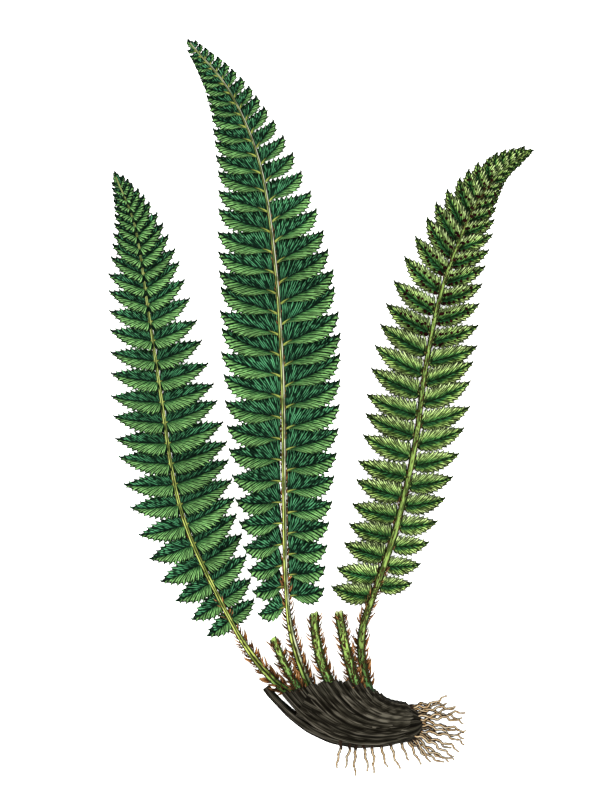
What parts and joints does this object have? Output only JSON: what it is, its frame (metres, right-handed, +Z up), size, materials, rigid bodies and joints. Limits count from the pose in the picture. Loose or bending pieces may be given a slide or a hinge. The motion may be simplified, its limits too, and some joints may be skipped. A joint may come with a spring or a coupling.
{
  "type": "holly-leaved shield fern",
  "caption": "Whole shield fern dug up and laid flat: leathery, toothed, once-pinnate fronds and cut stalks standing in a ridged rhizome with wiry roots.",
  "frame": {"origin": "on the flat spot under the rhizome, in the plane that the plant lies on", "axes": "+Z up, away from the surface the plant lies on; +Y from the rhizome towards the frond tips; +X to the right of someone looking down at it with the tips away from them"},
  "size_m": [0.254, 0.4398, 0.0339],
  "materials": {
    "rhizome": "dull dark brown bark, ridged, with buff roots",
    "frond_upper_face": "leathery, satin, dark green",
    "frond_underside": "leathery, matt, pale yellow green with dark round sori",
    "cut_stalk": "satin green stalk under rust-brown papery scales"
  },
  "bodies": {
    "root": {"rhizome_with_roots": "rhizome", "frond_left": "frond_upper_face", "frond_middle": "frond_upper_face", "frond_right": "frond_underside", "cut_stalk_left": "cut_stalk", "cut_stalk_middle": "cut_stalk", "cut_stalk_right": "cut_stalk"}
  },
  "joints": []
}
